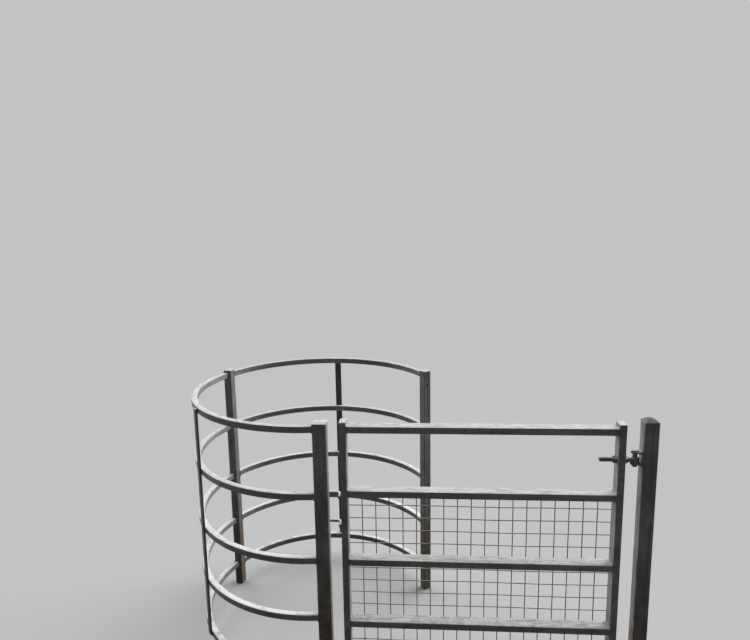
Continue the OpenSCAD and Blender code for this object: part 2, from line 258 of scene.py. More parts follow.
# Tops: washed pale, and painted paler still as a highlight for the light they catch from above, with drifts
# of dirt along the steel, a low-down colour (dirt on most steel, a painted sheen on the hoop), and fine dark
# specks
def zincTops(tree, spots, look):
    drifts = patches(tree, spots["along"], zincPatterns["drifts"])
    colour = mixColours(tree, drifts, look["top"], look["topDull"])
    lowness = fade(tree, spots["height"], *zincLimits["lowness"])
    # lower down the tops take their low colour: dirt on most steel, a painted sheen on the hoop
    colour = mixColours(tree, maths(tree, "MULTIPLY", lowness, look["lowShare"]), colour, look["lowTopDirtAndSheen"])
    lines = patches(tree, spots["along"], zincPatterns["lines"], look["lines"])
    colour = mixColours(tree, lines, colour, look["grimeColour"])
    blotches = noise(tree, spots["along"], zincPatterns["blotches"])
    dirtier = maths(tree, "ADD", blotches, maths(tree, "MULTIPLY", lowness, look["lowGrime"]))
    grime = fade(tree, dirtier, *zincPatterns["blotches"]["shown"], 0.0, look["grime"])
    colour = mixColours(tree, grime, colour, look["grimeColour"])
    pits = patches(tree, spots["place"], zincPatterns["pits"], look["pits"])
    return mixColours(tree, pits, colour, look["grimeColour"])


# Upper corners of the tubes, a little brighter: partly rubbed wear, partly a painted highlight where they
# turn up to the light
def rubAndHighlightCorners(tree, spots, look, colour):
    start = fade(tree, spots["upward"], *zincLimits["cornerStart"])
    end = fade(tree, spots["upward"], *zincLimits["cornerEnd"])
    slant = maths(tree, "MULTIPLY", start, end)
    return mixColours(tree, maths(tree, "MULTIPLY", slant, look["rubAndHighlight"]), colour, look["top"])


# Brown bleeding from under the caps
def bleedBelowCaps(tree, spots, look, colour):
    wander = maths(tree, "MULTIPLY", spots["runs"], zincLimits["bleedWander"])
    height = maths(tree, "ADD", spots["height"], wander)
    bleed = fade(tree, height, *zincLimits["bleed"], 0.0, look["bleed"])
    return mixColours(tree, maths(tree, "MULTIPLY", bleed, spots["upright"]), colour, look["bleedColour"])


# How much soil lies on the steel, splashed up from the ground
def soilShare(tree, spots, look):
    half = look["soilHeight"] * zincLimits["soilRagged"]
    splash = noise(tree, spots["place"], zincPatterns["splash"])
    ragged = fade(tree, splash, *zincPatterns["splash"]["shown"], half, -half)
    height = maths(tree, "ADD", spots["height"], ragged)
    return fade(tree, height, 0.0, look["soilHeight"], look["soil"], 0.0)


def zincRoughness(tree, spots, look, soil):
    smooth = look["roughness"] - zincLimits["smoother"]
    rough = look["roughness"] + zincLimits["rougher"]
    wear = noise(tree, spots["place"], zincPatterns["wear"])
    wear = fade(tree, wear, *zincPatterns["wear"]["shown"], smooth, rough)
    return maths(tree, "ADD", wear, maths(tree, "MULTIPLY", soil, zincLimits["soilDull"]))


def weatheredZinc(name, look):
    material = bpy.data.materials.new(name)
    material.use_nodes = True
    tree = material.node_tree
    tree.nodes.clear()
    spots = steelSpots(tree, look)
    # faces that look up take the pale top colour: partly weathered zinc, partly a painted highlight from the
    # light above
    topShare = fade(tree, spots["upward"], *zincLimits["top"])
    colour = mixColours(tree, topShare, zincSides(tree, spots, look), zincTops(tree, spots, look))
    colour = rubAndHighlightCorners(tree, spots, look, colour)
    colour = bleedBelowCaps(tree, spots, look, colour)
    soil = soilShare(tree, spots, look)
    colour = mixColours(tree, soil, colour, look["soilColour"])
    grain = bump(tree, spots["place"], zincPatterns["grain"], look["grain"])
    ripple = bump(tree, spots["place"], zincPatterns["ripple"], look["ripple"], grain)
    shader = addNode(tree, "ShaderNodeBsdfPrincipled", {
        "Base Color": colour,
        "Roughness": zincRoughness(tree, spots, look, soil),
        "Metallic": look["metallic"],
        "Specular IOR Level": look["gloss"],
        "Normal": ripple,
    })
    output = addNode(tree, "ShaderNodeOutputMaterial")
    tree.links.new(shader.outputs[0], output.inputs[0])
    return material


# The gate's common finish, and what each slot and piece has that differs
zincBase = {
    "way": "straight",  # which way the steel runs
    "shift": (0, 0, 0),  # another part of the same patterns
    "side": grey(0.36, 0.005),
    "patina": grey(0.23, 0.01),
    # the tops' colour: pale washed zinc, painted paler than the sides as a highlight from above
    "top": (0.66, 0.66, 0.68, 1),
    "topDull": (0.46, 0.46, 0.455, 1),
    "lowTopDirtAndSheen": (0.40, 0.395, 0.375, 1),
    "lowShare": 0.1,  # how far the tops turn to their low-down colour towards the ground: darker dirt on most steel, a painted paler sheen on the hoop
    "streak": (0.12, 0.112, 0.098, 1),
    "grimeColour": (0.15, 0.142, 0.12, 1),
    "bleedColour": (0.11, 0.07, 0.045, 1),
    "soilColour": (0.15, 0.105, 0.065, 1),
    "crystals": 0.065,  # from here to soil, how strongly each pattern shows
    "streaks": 0.3,
    "bloom": 0.12,  # pale runs
    "lines": 0.55,
    "grime": 0.55,
    "lowGrime": 0.045,  # how much more grime lies low down
    "pits": 0.65,
    # how far the upper corners go to the top colour: wear and a painted highlight
    "rubAndHighlight": 0.12,
    "bleed": 0.0,
    "soil": 0.7,
    "soilHeight": 0.36,  # metres
    "roughness": 0.48,
    "metallic": 0.06,
    "gloss": 0.25,
    "grain": 0.16,
    "ripple": 0.3,
}
finishLooks = {
    "post_steel": {"way": "upright", "shift": (4.1, 0.3, 0), "side": grey(0.33, 0.01),
                   "patina": grey(0.19, 0.03), "soilHeight": 0.78, "soil": 0.72, "streaks": 0.6,
                   "bloom": 0.2, "bleed": 0.4},
    "cap_steel": {"shift": (7.7, 2.0, 1.1), "lines": 0.15, "top": (0.66, 0.68, 0.71, 1)},
    # the hoop's tops turn almost white low down: a painted sheen for the bright sky light on its rails
    "hoop_steel": {"way": "round", "shift": (1.9, 5.2, 0.4), "top": (0.70, 0.70, 0.71, 1),
                   "topDull": (0.52, 0.52, 0.515, 1), "lowTopDirtAndSheen": (0.93, 0.93, 0.93, 1), "lowShare": 0.8,
                   "grime": 0.45, "soil": 0.5, "soilHeight": 0.22},
    "leaf_steel": {"soilHeight": 0.42},
    "hinge_steel": {"shift": (2.7, 0.9, 3.3), "crystals": 0.03, "streak": (0.17, 0.11, 0.07, 1),
                    "streaks": 0.7, "lines": 0.1, "patina": grey(0.17, 0.03), "side": grey(0.29, 0.02)},
    "mesh_wire": {"shift": (9.2, 1.4, 0.2), "crystals": 0.0, "side": grey(0.17, 0.06),
                  "patina": grey(0.10, 0.10), "top": grey(0.55, 0.01), "ripple": 0.1, "lines": 0.0},
}
pieceLooks = {
    "weld": {"shift": (5.5, 6.1, 2.0), "crystals": 0.0, "side": (0.30, 0.285, 0.30, 1),
             "patina": (0.16, 0.145, 0.15, 1), "topDull": (0.34, 0.33, 0.32, 1), "lines": 0.0,
             "roughness": 0.52},
    "dome": {"shift": (3.5, 1.1, 0.6), "top": (0.19, 0.195, 0.22, 1), "topDull": (0.11, 0.11, 0.125, 1),
             "lines": 0.0, "rubAndHighlight": 0.0},
    # the stop loop: cleaner, brighter zinc, with its top painted paler still as a highlight along the bar
    "loop": {"shift": (6.3, 2.1, 0.9), "side": grey(0.27), "patina": grey(0.20), "top": grey(0.85),
             "topDull": grey(0.74), "lines": 0.0, "grime": 0.25},
    "uprightBar": {**finishLooks["post_steel"], "shift": (8.3, 2.2, 0.5), "side": grey(0.15, 0.01),
                   "patina": grey(0.08, 0.03), "bloom": 0.08},
    # near-black disc over the far post's vent hole: painted shade standing for the dark hollow of the tube
    # behind it
    "ventHoleShade": {"crystals": 0.0, "metallic": 0.0, "side": grey(0.02), "patina": grey(0.03),
                   "top": grey(0.06), "topDull": grey(0.05), "roughness": 0.7, "streaks": 0.0, "bloom": 0.0},
}
finishes = {name: weatheredZinc(name.replace("_", "") + "Finish", {**zincBase, **look})
            for name, look in {**finishLooks, **pieceLooks}.items()}
slotOf = {part["node"]: part["material_slot"] for part in frame["record"]["subparts"]}
for name, piece in nodes.items():
    piece.data.materials.clear()
    piece.data.materials.append(finishes["loop" if name == "stop_loop" else slotOf[name]])
print("finishes laid on")


# Modelling helpers
faceOn = 0.9  # a face looks a given way where this much of its normal lies that way


def only(*pieces):
    bpy.ops.object.select_all(action="DESELECT")
    for piece in pieces:
        piece.select_set(True)
    bpy.context.view_layer.objects.active = pieces[0]


def applyPlace(piece):
    only(piece)
    bpy.ops.object.transform_apply(location=True, rotation=True, scale=True)
    return piece


def modify(piece, kind, **settings):
    only(piece)
    bpy.ops.object.modifier_add(type=kind)
    modifier = piece.modifiers[-1]
    for key, value in settings.items():
        setattr(modifier, key, value)
    bpy.ops.object.modifier_apply(modifier=modifier.name)
    return piece


def roundEdges(piece, width, steps, sharperThan):
    return modify(piece, "BEVEL", width=width, segments=steps, limit_method="ANGLE",
                  angle_limit=math.radians(sharperThan))


def pick(piece, kind, wanted):
    only(piece)
    bpy.ops.object.mode_set(mode="EDIT")
    bpy.ops.mesh.select_mode(type=kind)
    bpy.ops.mesh.select_all(action="DESELECT")
    bpy.ops.object.mode_set(mode="OBJECT")
    for part in piece.data.polygons if kind == "FACE" else piece.data.edges:
        part.select = wanted(part)
    bpy.ops.object.mode_set(mode="EDIT")


def pickFaces(piece, wanted):
    pick(piece, "FACE", wanted)


def pickEdges(piece, wanted):
    pick(piece, "EDGE", lambda edge: wanted(*[piece.data.vertices[i].co for i in edge.vertices]))


def joinPieces(pieces):
    only(*pieces)
    if len(pieces) > 1:
        bpy.ops.object.join()
    return bpy.context.object


def hang(piece, name, body, finish, replaced=(), sharp=35):
    only(piece)
    piece.name = name
    piece.data.materials.clear()
    piece.data.materials.append(finish)
    bpy.ops.object.shade_smooth_by_angle(angle=math.radians(sharp))
    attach(piece, body)
    if replaced:
        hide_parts(*replaced)


# Weld beads: a round run of metal along a seam, with the ripples of its passes
bead = {
    "spacing": 0.0012,
    "fewest": 4,  # steps along the shortest run
    "ripple": 0.07,  # the ripple and its jitter are shares of the radius
    "jitter": 0.045,
    "wander": 0.00015,
    "endShare": 0.6,  # how thick the ends of an open run are
    "roundness": 2,
    "cornerSteps": 4,
    "sharp": 60,
    "seed": 11,
}
random.seed(bead["seed"])


def evenly(route, spacing, closed):
    stops = route + route[:1] if closed else route
    lengths = [(b - a).length for a, b in zip(stops, stops[1:])]
    count = max(bead["fewest"], round(sum(lengths) / spacing))
    points = []
    for i in range(count if closed else count + 1):
        distance = sum(lengths) * i / count
        leg = 0
        while leg < len(lengths) - 1 and distance > lengths[leg]:
            distance -= lengths[leg]
            leg += 1
        points.append(stops[leg].lerp(stops[leg + 1], distance / lengths[leg]))
    return points


def layBead(route, radius, closed=True):
    points = evenly(route, bead["spacing"], closed)
    curve = bpy.data.curves.new("bead", "CURVE")
    curve.dimensions = "3D"
    curve.bevel_depth = radius
    curve.bevel_resolution = bead["roundness"]
    curve.use_fill_caps = True
    spline = curve.splines.new("POLY")
    spline.use_cyclic_u = closed
    spline.points.add(len(points) - 1)
    for i, point in enumerate(points):
        drift = Vector([random.uniform(-1, 1) * bead["wander"] for axis in range(3)])
        spline.points[i].co = (*(point + drift), 1)
        spline.points[i].radius = 1 + bead["ripple"] * (-1) ** i + random.uniform(-1, 1) * bead["jitter"]
    if not closed:
        spline.points[0].radius = spline.points[-1].radius = bead["endShare"]
    run = bpy.data.objects.new("bead", curve)
    bpy.context.collection.objects.link(run)
    only(run)
    bpy.ops.object.convert(target="MESH")
    return bpy.context.object


def hangBeads(runs, name, body):
    hang(joinPieces(runs), name, body, finishes["weld"], sharp=bead["sharp"])


# A rounded rectangle on the plane of u and v round a middle point
def roundedLoop(middle, u, v, halfU, halfV, corner):
    points = []
    for quarter, (sideU, sideV) in enumerate(((1, 1), (-1, 1), (-1, -1), (1, -1))):
        for step in range(bead["cornerSteps"] + 1):
            angle = math.radians(90 * (quarter + step / bead["cornerSteps"]))
            points.append(middle + u * (sideU * (halfU - corner) + corner * math.cos(angle))
                          + v * (sideV * (halfV - corner) + corner * math.sin(angle)))
    return points


# Beads round the ends of the hoop's rails, where they meet the faces of its turned posts
hoopWelds = {
    "radius": 0.0042,
    "railHalf": 0.0125,
    "corner": 0.003,
    "seats": (("near_post", -1, "left"), ("rear_post", 1, "left"),
              ("rear_post", -1, "back"), ("far_post", 1, "back")),
    "search": 0.2,  # radians from a post's middle, well past its face
    "halvings": 30,
}


# Where the rails that leave a post one way round the hoop meet its face
def railSeat(look, post, way):
    shape = hoopPosts[post]
    centre = middleOf(post)
    centre.z = 0
    start = math.atan2(centre.y - hoopMiddle.y, centre.x - hoopMiddle.x)
    heading = math.degrees(start) + 90 * way
    face = shape["turn"] + 90 * round((heading - shape["turn"]) / 90)
    normal = Vector((math.cos(math.radians(face)), math.sin(math.radians(face)), 0))
    near, far = 0.0, look["search"]
    for halving in range(look["halvings"]):
        angle = start + way * (near + far) / 2
        point = hoopMiddle + hoopRadius * Vector((math.cos(angle), math.sin(angle), 0))
        if (point - centre).dot(normal) < shape["side"] / 2:
            near = (near + far) / 2
        else:
            far = (near + far) / 2
    tangent = Vector((-math.sin(angle), math.cos(angle), 0))
    return point, normal, tangent


def weldHoopRails(look):
    runs = []
    for post, way, panel in look["seats"]:
        point, normal, tangent = railSeat(look, post, way)
        across = normal.cross(alongZ)
        halfWidth = look["railHalf"] / abs(tangent.dot(normal))
        for level in railLevels:
            height = middleOf(f"{panel}_rail_{level}").z
            middle = Vector((point.x, point.y, height))
            route = roundedLoop(middle, across, alongZ, halfWidth, look["railHalf"], look["corner"])
            runs.append(layBead(route, look["radius"]))
    hangBeads(runs, "hoopRailWelds", hoopBody)


weldHoopRails(hoopWelds)
print("hoop rails welded")


# Flat bars down the outside of the hoop, edges taken off, and a bead down each side of them at every rail
uprights = {
    "width": 0.030,
    "thickness": 0.008,
    "edge": 0.0012,
    "edgeSteps": 3,
    "edgeAngle": 60,
    "beadRadius": 0.0026,
    "beadHalf": 0.0095,
    "bars": {"left_upright": "left", "back_upright": "back"},
}


def makeUprights(look):
    runs = []
    for node, panel in look["bars"].items():
        low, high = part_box(node)
        middle = (low + high) / 2
        angle = math.atan2(middle.y - hoopMiddle.y, middle.x - hoopMiddle.x)
        bpy.ops.mesh.primitive_cube_add(size=1, location=middle, rotation=(0, 0, angle),
                                        scale=(look["thickness"], look["width"], high.z - low.z))
        bar = applyPlace(bpy.context.object)
        roundEdges(bar, look["edge"], look["edgeSteps"], look["edgeAngle"])
        hang(bar, panel + "UprightBar", hoopBody, finishes["uprightBar"], [node])
        outward = Vector((math.cos(angle), math.sin(angle), 0))
        sideways = Vector((-math.sin(angle), math.cos(angle), 0))
        face = hoopMiddle + outward * (hoopRadius + hoopWelds["railHalf"])
        for level in railLevels:
            height = middleOf(f"{panel}_rail_{level}").z
            for side in (-1, 1):
                seam = face + sideways * side * look["width"] / 2 + alongZ * height
                ends = [seam - alongZ * look["beadHalf"], seam + alongZ * look["beadHalf"]]
                runs.append(layBead(ends, look["beadRadius"], closed=False))
    hangBeads(runs, "uprightWelds", hoopBody)


makeUprights(uprights)
print("uprights made")


# Pressed caps on the posts and stiles, each with a thin run of weld under its rim
caps = {
    "lip": 0.0005,  # how far a cap stands past its post
    "corner": 0.004,
    "stileCorner": 0.003,
    "cornerSteps": 6,
    "edge": 0.0008,
    "edgeSteps": 3,
    "edgeAngle": 50,
    "crown": 0.0005,
    "crownInset": 0.0022,
    "beadRadius": 0.0015,
    "rim": 0.004,  # straight part under the dome
    "domeRings": 12,
    "domeRound": 0.8,  # how far the square turns round towards the top
    "domeEdgeSteps": 2,
    "domeSharp": 50,
}


def makeCapBlank(look, middle, width, depth, height, turn, corner):
    bpy.ops.mesh.primitive_cube_add(size=1, location=middle, rotation=(0, 0, math.radians(turn)),
                                    scale=(width, depth, height))
    cap = applyPlace(bpy.context.object)
    pickEdges(cap, lambda a, b: abs(a.z - b.z) > height / 2)
    bpy.ops.mesh.bevel(offset=corner, segments=look["cornerSteps"])
    bpy.ops.object.mode_set(mode="OBJECT")
    return cap


def layRimBead(look, middle, z, width, depth, turn, corner):
    across = Matrix.Rotation(math.radians(turn), 3, "Z") @ alongX
    inset = look["beadRadius"] / 2
    route = roundedLoop(Vector((middle.x, middle.y, z)), across, alongZ.cross(across),
                        width / 2 - inset, depth / 2 - inset, corner)
    return layBead(route, look["beadRadius"])


def makeFlatCap(look, name, body, node, width, depth, turn, corner):
    low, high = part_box(node)
    middle = (low + high) / 2
    cap = makeCapBlank(look, middle, width, depth, high.z - low.z, turn, corner)
    pickFaces(cap, lambda face: face.normal.z > faceOn)
    bpy.ops.mesh.inset(thickness=look["crownInset"])
    bpy.ops.transform.translate(value=(0, 0, look["crown"]))
    bpy.ops.object.mode_set(mode="OBJECT")
    roundEdges(cap, look["edge"], look["edgeSteps"], look["edgeAngle"])
    hang(cap, name, body, finishes["cap_steel"], [node])
    return layRimBead(look, middle, low.z, width, depth, turn, corner)


# The square rings of the dome turn round as they rise
def turnRound(look, dome, middle, width, rimTop, top):
    for vertex in dome.data.vertices:
        fromMiddle = Vector((vertex.co.x - middle.x, vertex.co.y - middle.y))
        up = max(0.0, (vertex.co.z - rimTop) / (top - rimTop))
        if up > 0 and fromMiddle.length > 0:
            roundReach = width / 2 * math.sqrt(1 - min(up, 1.0))
            wanted = fromMiddle.length + (roundReach - fromMiddle.length) * up * look["domeRound"]
            vertex.co.x = middle.x + fromMiddle.x / fromMiddle.length * wanted
            vertex.co.y = middle.y + fromMiddle.y / fromMiddle.length * wanted


def makeDomedCap(look):
    low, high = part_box("hinge_post_cap")
    middle = (low + high) / 2
    width = high.x - low.x
    rimTop = low.z + look["rim"]
    middle.z = (low.z + rimTop) / 2
    cap = makeCapBlank(look, middle, width, width, look["rim"], 0, look["corner"])
    pickFaces(cap, lambda face: face.normal.z > faceOn)
    before = 1.0
    for ring in range(1, look["domeRings"]):
        share = 1 - ring / look["domeRings"]
        rise = (high.z - rimTop) * (before ** 2 - share ** 2)
        bpy.ops.mesh.extrude_region_move(TRANSFORM_OT_translate={"value": (0, 0, rise)})
        bpy.ops.transform.resize(value=(share / before, share / before, 1), center_override=middle)
        before = share
    rise = (high.z - rimTop) * before ** 2
    bpy.ops.mesh.extrude_region_move(TRANSFORM_OT_translate={"value": (0, 0, rise)})
    bpy.ops.mesh.merge(type="CENTER")
    bpy.ops.object.mode_set(mode="OBJECT")
    turnRound(look, cap, middle, width, rimTop, high.z)
    roundEdges(cap, look["edge"], look["domeEdgeSteps"], look["edgeAngle"])
    hang(cap, "hingePostCap", hoopBody, finishes["dome"], ["hinge_post_cap"],
         sharp=look["domeSharp"])
    return layRimBead(look, middle, low.z, width, width, 0, look["corner"])


def makeCaps(look):
    runs = [makeDomedCap(look)]
    for post, shape in hoopPosts.items():
        side = shape["side"] + 2 * look["lip"]
        runs.append(makeFlatCap(look, post.replace("_post", "PostCap"), hoopBody, post + "_cap",
                                side, side, shape["turn"], look["corner"]))
    hangBeads(runs, "postCapWelds", hoopBody)
    runs = []
    for stile in ("hinge", "closing"):
        low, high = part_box(stile + "_stile")
        runs.append(makeFlatCap(look, stile + "StileCap", leafBody, stile + "_stile_cap",
                                high.x - low.x, high.y - low.y, 0, look["stileCorner"]))
    hangBeads(runs, "stileCapWelds", leafBody)


makeCaps(caps)
print("caps made")


# Welds round the ends of the leaf's rails, dressed nearly flush in front and behind
leafWelds = {
    "radius": 0.0030,
    "sunk": 0.0021,  # how far inside the rail's front and back the beads run
    "corner": 0.003,
}


def weldLeaf(look):
    runs = []
    for level in railLevels:
        low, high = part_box(f"leaf_rail_{level}")
        middle = (low + high) / 2
        for x in (low.x, high.x):
            route = roundedLoop(Vector((x, middle.y, middle.z)), alongY, alongZ,
                                (high.y - low.y) / 2 - look["sunk"], (high.z - low.z) / 2, look["corner"])
            runs.append(layBead(route, look["radius"]))
    hangBeads(runs, "leafRailWelds", leafBody)


weldLeaf(leafWelds)
print("leaf welded")


# Mesh of round wires: level ones against the rails, upright ones behind them, a nugget at every crossing
wires = {
    "radius": 0.00175,
    "pitch": 0.050,
    "tail": 0.010,
    "bite": 0.0006,  # how far crossing wires are pressed into each other
    "sides": 10,
    "edge": 0.0004,
    "edgeSteps": 1,
    "edgeAngle": 60,
    "bends": 2,  # places in each cell where a wire can bend
    "nugget": (0.0025, 0.0019, 0.0025),
    "tack": (0.0034, 0.0021, 0.0027),
    "tackPart": 3,  # the tacks sit a third of a tail in
    "bow": 0.0011,
    "bowShares": (0.55, 0.45),  # the even part, and the part that comes and goes across the mesh
    "bowWaves": (17, 9),  # radians over the mesh's width and height
    "sag": 0.8,  # how far wires wander up and down, as a share of the bow
    "sagWaves": (11, 5),
    "sharp": 50,
}


def makeWire(look, start, length, direction):
    turn = (0, math.radians(90), 0) if direction is alongX else (0, 0, 0)
    bpy.ops.mesh.primitive_cylinder_add(vertices=look["sides"], radius=look["radius"], depth=length,
                                        location=start + direction * length / 2, rotation=turn)
    wire = applyPlace(bpy.context.object)
    roundEdges(wire, look["edge"], look["edgeSteps"], look["edgeAngle"])
    pickEdges(wire, lambda a, b: (a - b).length > length / 2)
    bpy.ops.mesh.subdivide(number_cuts=round(length / look["pitch"]) * look["bends"])
    bpy.ops.object.mode_set(mode="OBJECT")
    return wire


def makeNugget(place, size):
    bpy.ops.mesh.primitive_ico_sphere_add(subdivisions=2, radius=1, location=place, scale=size)
    return applyPlace(bpy.context.object)


def repeat(piece, step, count):
    return modify(piece, "ARRAY", use_relative_offset=False, use_constant_offset=True,
                  constant_offset_displace=step, count=count)


# Old mesh bulges backwards a little, and its wires wander
def bowMesh(look, mesh, low, high):
    even, uneven = look["bowShares"]
    for vertex in mesh.data.vertices:
        across = (vertex.co.x - low.x) / (high.x - low.x)
        up = (vertex.co.z - low.z) / (high.z - low.z)
        wave = math.sin(across * look["bowWaves"][0] + up * look["bowWaves"][1])
        swell = math.sin(across * math.pi) * (even + uneven * wave)
        vertex.co.y += look["bow"] * max(0.0, swell)
        sag = math.sin(across * look["sagWaves"][0] + up * look["sagWaves"][1])
        vertex.co.z += look["bow"] * look["sag"] * sag


def makeMesh(look):
    low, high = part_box("leaf_mesh")
    tail, pitch = look["tail"], look["pitch"]
    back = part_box("leaf_rail_2")[1].y
    rowY = back + look["radius"]
    columnY = rowY + 2 * look["radius"] - look["bite"]
    columns = round((high.x - low.x - 2 * tail) / pitch) + 1
    rows = round((high.z - low.z - 2 * tail) / pitch) + 1
    bottom = (low.z + high.z - (rows - 1) * pitch) / 2
    left = low.x + tail
    right, up = alongX * pitch, alongZ * pitch
    row = makeWire(look, Vector((low.x, rowY, bottom)), high.x - low.x, alongX)
    column = makeWire(look, Vector((left, columnY, bottom - tail)), (rows - 1) * pitch + 2 * tail, alongZ)
    nugget = makeNugget(Vector((left, (rowY + columnY) / 2, bottom)), look["nugget"])
    tackIn = tail / look["tackPart"]
    tacks = [makeNugget(Vector((x, back + look["radius"] / 2, bottom)), look["tack"])
             for x in (low.x + tackIn, high.x - tackIn)]
    parts = [repeat(row, up, rows), repeat(column, right, columns)]
    parts.append(repeat(repeat(nugget, right, columns), up, rows))
    parts += [repeat(tack, up, rows) for tack in tacks]
    mesh = joinPieces(parts)
    bowMesh(look, mesh, low, high)
    hang(mesh, "weldedMesh", leafBody, finishes["mesh_wire"], ["leaf_mesh"], sharp=look["sharp"])


makeMesh(wires)
print("mesh made")


# Eye bolts of the two hinges: a ring with a true bore, a tapered neck and a threaded shank
eyeBolts = {
    "bore": 0.00808,
    "eyeSides": 48,
    "eyeEdge": 0.0026,
    "eyeEdgeSteps": 4,
    "neck": 0.006,
    "neckRadius": 0.0098,
    "neckEdge": 0.0008,
    "neckAngle": 50,
    "threadRadius": 0.0080,
    "coreRadius": 0.0069,
    "pitch": 0.0020,
    "gap": 0.00004,  # keeps the roots of the thread's turns apart
    "rooted": 0.0004,  # how far the roots reach into the core
    "steps": 24,
    "sides": 32,
    "coreExtra": 1.6,  # turns by which the core is longer than the thread
    "endChamfer": 0.0012,
    "edgeSteps": 2,
    "edgeAngle": 60,
    "merge": 0.00001,
    "sharp": 40,
}


def makeThread(look, fromX, length, height):
    turns = round(length / look["pitch"])
    bpy.ops.mesh.primitive_circle_add(vertices=3, radius=look["pitch"])
    ridge = bpy.context.object
    root = look["coreRadius"] - look["rooted"]
    corners = ((look["gap"], root), (look["pitch"] / 2, look["threadRadius"]),
               (look["pitch"] - look["gap"], root))
    for vertex, (x, radius) in zip(ridge.data.vertices, corners):
        vertex.co = (x, 0, radius)
    modify(ridge, "SCREW", axis="X", angle=math.radians(360), screw_offset=look["pitch"], iterations=turns,
           steps=look["steps"], render_steps=look["steps"], use_merge_vertices=False)
    only(ridge)
    bpy.ops.object.mode_set(mode="EDIT")
    bpy.ops.mesh.select_all(action="SELECT")
    bpy.ops.mesh.remove_doubles(threshold=look["merge"])
    bpy.ops.mesh.fill_holes(sides=4)
    bpy.ops.mesh.normals_make_consistent(inside=False)
    bpy.ops.object.mode_set(mode="OBJECT")
    ridge.location = (fromX, 0, height)
    applyPlace(ridge)
    bpy.ops.mesh.primitive_cylinder_add(vertices=look["sides"], radius=look["coreRadius"],
                                        depth=length + look["pitch"] * look["coreExtra"],
                                        location=(fromX + length / 2 + look["pitch"] / 2, 0, height),
                                        rotation=(0, math.radians(90), 0))
    core = applyPlace(bpy.context.object)
    roundEdges(core, look["endChamfer"], look["edgeSteps"], look["edgeAngle"])
    return [ridge, core]


def makeEye(look, place, radius, thickness):
    bpy.ops.mesh.primitive_cylinder_add(vertices=look["eyeSides"], radius=radius, depth=thickness,
                                        location=place)
    eye = applyPlace(bpy.context.object)
    pickFaces(eye, lambda face: abs(face.normal.z) > faceOn)
    bpy.ops.mesh.inset(thickness=radius - look["bore"])
    bpy.ops.mesh.bridge_edge_loops()
    bpy.ops.object.mode_set(mode="OBJECT")
    return roundEdges(eye, look["eyeEdge"], look["eyeEdgeSteps"], look["edgeAngle"])


def makeNeck(look, start, length, height):
    bpy.ops.mesh.primitive_cone_add(vertices=look["sides"], radius1=look["neckRadius"],
                                    radius2=look["threadRadius"], depth=length,
                                    location=(start + length / 2, 0, height),
                                    rotation=(0, math.radians(-90), 0))
    return roundEdges(applyPlace(bpy.context.object), look["neckEdge"], look["edgeSteps"], look["neckAngle"])


def makeEyeBolt(look, name, node):
    low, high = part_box(node)
    height = (low.z + high.z) / 2
    eyeRadius = (high.y - low.y) / 2
    pinX = high.x - eyeRadius
    wall = (eyeRadius - look["bore"]) / 2  # the neck reaches half way into the ring
    neckEnd = pinX - eyeRadius - look["neck"]
    eye = makeEye(look, (pinX, 0, height), eyeRadius, high.z - low.z)
    neck = makeNeck(look, neckEnd, look["neck"] + wall, height)
    thread = makeThread(look, low.x, neckEnd - low.x - look["pitch"], height)
    bolt = joinPieces([eye, neck] + thread)
    hang(bolt, name, leafBody, finishes["hinge_steel"], [node], sharp=look["sharp"])


for level in ("upper", "lower"):
    makeEyeBolt(eyeBolts, level + "EyeBolt", level + "_eye_bolt")
print("eye bolts made")


# Beads round the roots of the lugs, and along the feet of the stop loop
lugWelds = {
    "radius": 0.0026,
    "corner": 0.0008,
    "plate": 0.006,  # thickness of a lug
}
loopWelds = {
    "radius": 0.0024,
    "bar": 0.012,  # diameter of the loop's bar
    "lift": 0.0047,  # from the middle of the bar up or down to a bead
    "out": 0.0012,  # from the side of the stile
    "run": 0.022,
}


def weldLugs(look):
    runs = []
    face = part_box("hinge_post")[0].x
    half = look["plate"] / 2
    for level in ("upper", "lower"):
        low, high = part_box(level + "_hinge_lugs")
        for z in (low.z + half, high.z - half):
            route = roundedLoop(Vector((face, 0, z)), alongY, alongZ,
                                (high.y - low.y) / 2, half, look["corner"])
            runs.append(layBead(route, look["radius"]))
    hangBeads(runs, "lugWelds", hoopBody)


def weldLoop(look):
    runs = []
    low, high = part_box("stop_loop")
    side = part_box("closing_stile")[0].x
    for z in (low.z + look["bar"] / 2, high.z - look["bar"] / 2):
        for way in (-1, 1):
            start = Vector((side - look["out"], low.y, z + way * look["lift"]))
            runs.append(layBead([start, start + alongY * look["run"]], look["radius"], closed=False))
    hangBeads(runs, "loopWelds", leafBody)


weldLugs(lugWelds)
weldLoop(loopWelds)
print("hinges welded")


# Small fixings: dome heads down the near post's front, and a near-black disc in the far post's vent hole,
# painted shade for the dark hollow inside the tube
fixings = {
    "headRadius": 0.0068,
    "headProud": 0.0034,
    "headHeights": (0.864, 0.751, 0.656),
    "ventShadeRadius": 0.0052,
    "ventShadeProud": 0.0012,
    "ventShadeHeight": 1.040,
    "ventShadeFace": 308,  # degrees from +X of the face that it sits in
    "sides": 24,
    "flatShare": 0.45,
    "domeShare": 0.8,
    "edgeSteps": 4,
    "edgeAngle": 60,
}


def makeHead(look, place, outward, radius, proud):
    turn = outward.to_track_quat("Z", "Y").to_euler()
    bpy.ops.mesh.primitive_cylinder_add(vertices=look["sides"], radius=radius, depth=2 * proud,
                                        location=place, rotation=turn)
    head = applyPlace(bpy.context.object)
    pickFaces(head, lambda face: face.normal.dot(outward) > faceOn)
    bpy.ops.mesh.inset(thickness=radius * look["flatShare"])
    bpy.ops.object.mode_set(mode="OBJECT")
    return roundEdges(head, proud * look["domeShare"], look["edgeSteps"], look["edgeAngle"])


